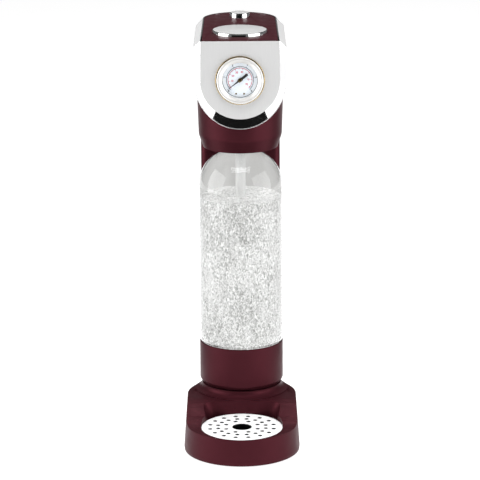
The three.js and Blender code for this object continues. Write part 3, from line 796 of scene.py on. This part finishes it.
def on_dial(angle, radius):
    return radius * math.cos(math.radians(angle)), GAUGE_Z + radius * math.sin(math.radians(angle))


def dial_marks(name, material, strips):
    """Thin raised marks on the dial; each strip is a closed (x, z) outline."""
    vertices, faces = [], []
    for strip in strips:
        faces += extrusion(len(vertices), len(strip))
        vertices += [(x, y, z) for y in (DIAL_FACE - PRINT, DIAL_FACE + 0.1) for x, z in strip]
    place(new_object(name, vertices, faces), material, "machine", "dial_face")


def tick(angle, inner, outer, width):
    cx, cz = on_dial(angle, (inner + outer) / 2)
    along = Vector((math.cos(math.radians(angle)), math.sin(math.radians(angle)))) * (outer - inner) / 2
    across = Vector((-along.y, along.x)).normalized() * width / 2
    return [(cx + sx * along.x + sy * across.x, cz + sx * along.y + sy * across.y)
            for sx, sy in ((1, 1), (-1, 1), (-1, -1), (1, -1))]


def band(radius, width, start, end):
    outer = arc(0, GAUGE_Z, radius + width / 2, radius + width / 2, start, end, 8)
    inner = arc(0, GAUGE_Z, radius - width / 2, radius - width / 2, end, start, 8)
    return outer + inner


def scale_line(radius, width):
    """The line under a scale, one stretch for each step of the scale."""
    return [band(radius, width, SCALE_START - turn, SCALE_START - turn - SCALE_STEP)
            for turn in range(0, SCALE_STEPS * SCALE_STEP, SCALE_STEP)]


def numeral(name, text, angle, radius, size, material):
    curve = bpy.data.curves.new(name, "FONT")
    curve.body = text
    curve.size = size * MM
    curve.extrude = PRINT * MM
    curve.offset = 0.09 * MM
    curve.align_x, curve.align_y = "CENTER", "CENTER"
    x, z = on_dial(angle, radius)
    piece = bpy.data.objects.new(name, curve)
    bpy.context.scene.collection.objects.link(piece)
    piece.location = (x * MM, (DIAL_FACE + AXIS) * MM, z * MM)
    piece.rotation_euler = (math.pi / 2, 0, 0)
    bpy.context.view_layer.update()
    mesh = bpy.data.meshes.new_from_object(piece.evaluated_get(bpy.context.evaluated_depsgraph_get()))
    mesh.transform(piece.matrix_world)
    bpy.data.objects.remove(piece)
    solid = bpy.data.objects.new(name, mesh)
    bpy.context.scene.collection.objects.link(solid)
    place(solid, material, "machine", "dial_face")


def span_of(node):
    """A gauge piece's front, back and radius."""
    return low(node).y - AXIS, high(node).y - AXIS, high(node).x


def gauge_piece(name, profile, material, slot, node):
    piece = turned(name, profile, along="Y")
    soften(piece, 0)
    place(piece, material, "machine", slot, node)


def gauge_body():
    """The case with its thin flange, the bezel, the lens and the dial's plate."""
    front, back, flange = span_of("gauge_case")
    gauge_piece("gauge_ring", filleted([
        (STEM, back), (BARREL, back, 2), (BARREL, front + 1), (flange, front + 1), (flange, front, 0.5),
        (BARREL - 1.2, front), (BARREL - 1.2, back - 2), (STEM, back - 2)]), BRASS, "brass", "gauge_case")
    front, back, radius = span_of("gauge_bezel")
    outer = radius - 0.4
    gauge_piece("bezel_ring", filleted([
        (WINDOW, back), (outer, back), (outer, front, 1.6), (20.6, front, 1),
        (WINDOW, back - 0.7, 0.3), (WINDOW, back)])[:-1], SILVER, "polished_chrome", "gauge_bezel")
    front, back, outer = span_of("gauge_lens")
    gauge_piece("lens", filleted([(0, back), (outer, back), (outer, front, 0.2), (0, front - 0.1)]),
                GLASS, "gauge_glass", "gauge_lens")
    _, back, outer = span_of("gauge_dial")
    gauge_piece("dial_plate", [(DIAL_BORE, back), (outer, back), (outer, DIAL_FACE), (DIAL_BORE, DIAL_FACE)],
                DIAL_WHITE, "dial_face", "gauge_dial")


def scales():
    """The outer black scale with its ring and the inner red one, each with its numerals."""
    black = scale_line(SCALE_RADIUS, 0.5)
    black += [tick(SCALE_START - SCALE_STEP * i, SCALE_RADIUS, 14.4, 0.42) for i in range(SCALE_STEPS + 1)]
    black += [tick(SCALE_START - SCALE_STEP * i / 10, SCALE_RADIUS, 14.1, 0.2)
              for i in range(10 * SCALE_STEPS + 1)]
    black += [band(WINDOW - 0.2, 0.4, start + 60, start) for start in range(0, 360, 60)]
    dial_marks("scale_marks", DIAL_BLACK, black)
    red = scale_line(RED_RADIUS, 0.6)
    red += [tick(RED_START - RED_STEP * i, 10.2, RED_RADIUS, 0.4) for i in range(RED_NUMERALS)]
    red += [tick(RED_START + RED_MINOR - RED_STEP * i, 10.8, RED_RADIUS, 0.25) for i in range(RED_NUMERALS)]
    dial_marks("second_scale_marks", DIAL_RED, red)
    for i in range(SCALE_STEPS + 1):
        numeral(f"numeral_{i}", str(i), SCALE_START - SCALE_STEP * i, 15.8, 2.5, DIAL_BLACK)
    for i in range(RED_NUMERALS):
        numeral(f"red_numeral_{i + 1}", str(10 * (i + 1)), RED_START - RED_STEP * i, 7.9, 2.7, DIAL_RED)


def dial_screws():
    """Two small domed screw heads low on the dial."""
    for name, x in (("dial_screw_l", -SCREW_X), ("dial_screw_r", SCREW_X)):
        vertices = [(u, DIAL_FACE - rise, v) for radius, rise in ((0.95, 0), (0.8, 0.5))
                    for u, v in arc(x, GAUGE_Z - SCREW_DROP, radius, radius, 0, 360, SCREW_SIDES)[:-1]]
        place(new_object(name, vertices, extrusion(0, SCREW_SIDES)), BRASS, "machine", "brass")


def gauge():
    gauge_body()
    scales()
    dial_screws()


def needle():
    """A slim pointer with a broad tail, and its domed hub."""
    edge = [(-9.4, 1.2), (-2.6, 1.2), (-2.0, 1.7), (0, 1.95), (2.0, 1.7), (2.6, 0.7), (15.8, 0.14)]
    blade = [(x, -z) for x, z in edge] + edge[::-1]
    turn = math.radians(NEEDLE_REST)
    spun = [(x * math.cos(turn) - z * math.sin(turn), GAUGE_Z + x * math.sin(turn) + z * math.cos(turn))
            for x, z in blade]
    front = low("gauge_needle").y - AXIS
    back = front + 0.6
    pointer = new_object("pointer", [(x, y, z) for y in (front, back) for x, z in spun],
                         extrusion(0, len(spun)))
    combine(pointer, rod("shaft", 0.9, back + 6, back - 0.2, along="Y", sides=SMALL), "UNION")
    soften(pointer, 0.06, 30, 2)
    place(pointer, DIAL_BLACK, "gauge_needle", "needle_black", "gauge_needle")
    front, back, _ = span_of("gauge_hub")
    hub = turned("pointer_hub", filleted([(0, back), (1.9, back), (1.9, front, 0.3), (0, front - 0.05)]),
                 SMALL, along="Y")
    soften(hub, 0)
    place(hub, BRASS, "gauge_needle", "brass", "gauge_hub")


# ------------------------------------------------------------------ the bottle
BOTTLE_RADIUS = high("bottle_body").x
BOTTLE_SEAT = low("bottle_body").z
BOTTLE_TOP = high("bottle_body").z
BOTTLE_WALL = 1.2
DOME_Z = 252                    # where the wall starts to curve in
NECK = 14.2                     # radius of the neck
CUP_LOW, CUP_HIGH = low("bottle_cup").z, high("bottle_cup").z
CUP_RADIUS = high("bottle_cup").x
WAIST = CUP_RADIUS - 2.1        # radius of the bottle inside its foot cup
WATER_LEVEL = 244
COLLAR, COLLAR_Z = 16.4, 296
RIDGES = (303, 308)             # heights of the neck's two ridges
ROOM = 0.35                     # between the bottle's wall and what it holds


def dome(radius):
    """The bottle's shoulder: part of a circle from the wall up to the neck."""
    end = math.degrees(math.acos((NECK + radius - BOTTLE_RADIUS) / radius))
    return arc(0, DOME_Z, radius, radius, 0, end, 28)


def bottle():
    outer = filleted([(0, BOTTLE_SEAT + 3), (20, BOTTLE_SEAT + 2, 10), (30, BOTTLE_SEAT, 6),
                      (WAIST, BOTTLE_SEAT + 6, 8), (WAIST, CUP_HIGH + 0.4, 1),
                      (BOTTLE_RADIUS - 0.4, CUP_HIGH + 1.6, 2), (BOTTLE_RADIUS, CUP_HIGH + 9, 12),
                      (BOTTLE_RADIUS, DOME_Z)])
    collar = [(NECK, COLLAR_Z, 1), (COLLAR, COLLAR_Z + 0.6, 0.4), (COLLAR, COLLAR_Z + 2.4, 0.4),
              (NECK, COLLAR_Z + 3, 0.6)]
    ridges = [point for z in RIDGES for point in ((NECK, z), (NECK + 0.8, z + 1, 0.4), (NECK, z + 2.4))]
    bore = NECK - BOTTLE_WALL
    mouth = [(NECK, BOTTLE_TOP, 0.5), (bore, BOTTLE_TOP, 0.5), (bore, COLLAR_Z)]
    neck = filleted([dome(BOTTLE_RADIUS)[-1]] + collar + ridges + mouth, 4)
    inside, inner_waist = BOTTLE_RADIUS - BOTTLE_WALL, WAIST - BOTTLE_WALL
    inner = dome(inside)[::-1] + filleted(
        [(inside, DOME_Z), (inside, CUP_HIGH + 9, 12), (inside - 0.4, CUP_HIGH + 2, 2),
         (inner_waist, CUP_HIGH + 0.4, 1), (inner_waist, BOTTLE_SEAT + 7, 8),
         (30, BOTTLE_SEAT + BOTTLE_WALL, 6), (20, BOTTLE_SEAT + 3.2, 10), (0, BOTTLE_SEAT + 4.2)])
    body = turned("clear_bottle", outer + dome(BOTTLE_RADIUS)[1:] + neck[1:] + inner, BOTTLE_SIDES)
    soften(body, 0, 40)
    place(body, CLEAR_PLASTIC, "bottle", "clear_bottle", "bottle_body")


def bottle_cup():
    inside = CUP_RADIUS - 1.7
    floor_z = BOTTLE_SEAT - 1
    cup = turned("foot_cup", filleted(
        [(0, CUP_LOW + 0.8), (30, CUP_LOW + 0.8, 2), (33, CUP_LOW, 1), (CUP_RADIUS - 2.0, CUP_LOW, 1.2),
         (CUP_RADIUS, CUP_LOW + 3.4, 3), (CUP_RADIUS, CUP_HIGH, 0.7), (inside, CUP_HIGH, 0.5),
         (inside, floor_z, 3), (0, floor_z)], 8))
    soften(cup, 0, 40)
    place(cup, BURGUNDY, "bottle", "burgundy_body", "bottle_cup")


def contents():
    """The fizzing water and the mist above it, each a thin distance inside the bottle's wall."""
    radius = BOTTLE_RADIUS - BOTTLE_WALL - ROOM
    low_radius = WAIST - BOTTLE_WALL - ROOM
    bore, pocket = high("nozzle_tube").x + 0.4, low("nozzle_tip").z - 2
    side = [(0, BOTTLE_SEAT + 5), (20, BOTTLE_SEAT + 4, 8), (low_radius, BOTTLE_SEAT + 5, 8),
            (low_radius, CUP_HIGH + 1, 1), (radius - 0.8, CUP_HIGH + 5, 4)]
    surface = [(radius - 0.8, WATER_LEVEL, 1.5), (bore, WATER_LEVEL - 0.6), (bore, pocket), (0, pocket)]
    water = turned("fizzing_water", filleted(side + surface), BOTTLE_SIDES)
    soften(water, 0, 40)
    place(water, FIZZ, "bottle", "clear_bottle")
    shell = [(radius, WATER_LEVEL - 2)] + [(x, z) for x, z in dome(radius) if x > 17]
    mist = turned("mist", shell + [(x - 0.5, z - 0.3) for x, z in shell[::-1]], BOTTLE_SIDES)
    combine(mist, block("front_half", -WIDE, WIDE, -WIDE, 0, WATER_LEVEL - 5, BOTTLE_TOP))
    soften(mist, 0, 40)
    place(mist, MIST, "bottle", "clear_bottle")


# ------------------------------------------------------------------ pieces that keep their CAD form
INNER_EDGE = 32                 # degrees at which an inner piece's edge stays sharp


def finish_inner_pieces():
    finishes = {
        "burgundy_body": BURGUNDY, "polished_chrome": CHROME, "brushed_steel": SATIN_STEEL,
        "plain_steel": PLAIN_STEEL, "cylinder_steel": CYLINDER_PAINT, "brass": BRASS, "rubber": RUBBER,
        "black_plastic": BLACK_PLASTIC_AND_HOLE_SHADE, "hose": RUBBER, "grey_plastic": GREY_PLASTIC,
        "nozzle_plastic": NOZZLE_PLASTIC, "needle_black": DIAL_BLACK, "dial_face": DIAL_WHITE,
        "gauge_glass": GLASS, "clear_bottle": CLEAR_PLASTIC,
    }
    slots = {part["node"]: part["material_slot"] for part in frame["record"]["subparts"]}
    for name, node in frame["nodes"].items():
        node.data.materials.clear()
        node.data.materials.append(finishes[slots[name]])
        node.data.shade_smooth()
        node.data.set_sharp_from_angle(angle=math.radians(INNER_EDGE))


def twin(node):
    """A copy of a CAD piece, linked into the scene where the piece stands."""
    source = frame["nodes"][node]
    piece = bpy.data.objects.new(f"{node}_form", source.data.copy())
    piece.matrix_world = source.matrix_world.copy()
    bpy.context.scene.collection.objects.link(piece)
    return piece


def flexing_pieces():
    """Copies of the springs in plain steel on the machine, and of the hoses with their placing baked in; the
    CAD pieces are hidden.
    """
    for node, joint, travel in (("button_spring", "carbonate_press", 5), ("vent_spring", "vent_press", 3)):
        coil = place(twin(node), PLAIN_STEEL, "machine", "plain_steel", node)
        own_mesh(coil)
    for node, fixed, moving in (("gas_hose", (45, 358), (13, 358)), ("gauge_hose", (-8, 368), (-8, 346))):
        hose = twin(node)
        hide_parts(node)
        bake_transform(hose)


# ------------------------------------------------------------------ floor, light and camera
FLOOR_GLOW = 0.85
WORLD_LIGHT = 0.16
MAT = ((337, 47), (1485, 209), (964, 1149), (219, 260))     # a floor mat's corners, right of the machine


def floor():
    corners = [(-4000, -3000, 0), (4000, -3000, 0), (4000, 4000, 0), (-4000, 4000, 0)]
    sheet = new_object("floor", corners, [(0, 1, 2, 3)])
    shader = Shader("pale_floor", Roughness=0.7, Specular_IOR_Level=0.1, Emission_Strength=FLOOR_GLOW)
    shader.surface.inputs["Emission Color"].default_value = (1, 1, 1, 1)
    mottle = shader.noise(shader.place(), 3.0)
    shader.drive(shader.mix(mottle, (0.40, 0.40, 0.40), (0.43, 0.43, 0.43)), "Base Color")
    sheet.data.materials.append(shader.material)


def soft_light(name, place_at, aim, size, power, glossy=True):
    lamp = bpy.data.lights.new(name, "AREA")
    lamp.shape = "RECTANGLE"
    lamp.size, lamp.size_y = size
    lamp.energy = power
    light = bpy.data.objects.new(name, lamp)
    light.location = place_at
    light.rotation_euler = (Vector(aim) - Vector(place_at)).to_track_quat("-Z", "Y").to_euler()
    light.visible_camera = False
    light.visible_glossy = glossy
    bpy.context.scene.collection.objects.link(light)


def dark_card(name, corners):
    """A black studio card: seen only in reflections."""
    card = new_object(name, corners, [(0, 1, 2, 3)])
    shader = Shader(name, Roughness=1.0, Specular_IOR_Level=0.0)
    shader.surface.inputs["Base Color"].default_value = (0.004, 0.004, 0.004, 1)
    card.data.materials.append(shader.material)
    card.visible_camera = card.visible_diffuse = card.visible_shadow = card.visible_transmission = False


def level_card(name, x, front, back, z):
    """A level card, centred on the machine."""
    dark_card(name, [(-x, front, z), (x, front, z), (x, back, z), (-x, back, z)])


def studio():
    world = bpy.data.worlds.new("studio")
    world.use_nodes = True
    sky = world.node_tree.nodes["Background"]
    sky.inputs["Color"].default_value = (1, 1, 1, 1)
    sky.inputs["Strength"].default_value = WORLD_LIGHT
    bpy.context.scene.world = world
    bpy.context.scene.view_settings.view_transform = "Standard"
    soft_light("key_left", (-1.16, -0.31, 0.45), (0, 0, 0.22), (1.1, 1.3), 13)
    soft_light("key_right", (1.08, -0.52, 0.45), (0, 0, 0.22), (1.2, 1.3), 12)
    soft_light("top", (0, -0.3, 1.7), (0, 0, 0.2), (1.3, 1.3), 38, glossy=False)
    soft_light("roof", (0, 0.9, 1.6), (0, 0.1, 0.1), (1.2, 1.0), 10)
    soft_light("back", (0, 1.7, 0.9), (0, 0, 0.4), (2.4, 1.2), 4, glossy=False)
    dark_card("rim_card", [(-620, -905, 20), (420, -905, 20), (420, -905, 650), (-620, -905, 650)])
    for side, name in ((-1, "left_mat"), (1, "right_mat")):
        dark_card(name, [(side * x, y, 2) for x, y in MAT])
    level_card("deck_card", 44, -30, 160, 445)
    level_card("band_card", 79, -112, -49, 250)
    floor()


def camera():
    """A long lens in front of the machine, a little above it, looking slightly down."""
    height, distance, pitch, roll = 0.8808, 2.5549, 15.0, -0.32
    lens = bpy.data.cameras.new("camera")
    lens.sensor_width = 36
    lens.lens = 196.1
    lens.shift_x, lens.shift_y = -0.0019, 0.0017
    lens.clip_end = 20
    view = bpy.data.objects.new("camera", lens)
    view.location = (0, AXIS * MM - distance, height)
    tilt = Matrix.Rotation(math.radians(90 - pitch), 3, "X") @ Matrix.Rotation(math.radians(roll), 3, "Z")
    view.rotation_euler = tilt.to_euler()
    bpy.context.scene.collection.objects.link(view)
    bpy.context.scene.camera = view


finish_inner_pieces()
flexing_pieces()
foot()
drip_tray()
column()
housing()
hood()
hood_lip()
deck()
push_button("large_button", "carbonate_button", 0, skirt=404.5, stem=4.0, lip=2.0)
push_button("small_button", "vent_button", VENT_Y, skirt=404, stem=2.5, lip=1.6)
gauge()
needle()
bottle()
bottle_cup()
contents()
studio()
camera()
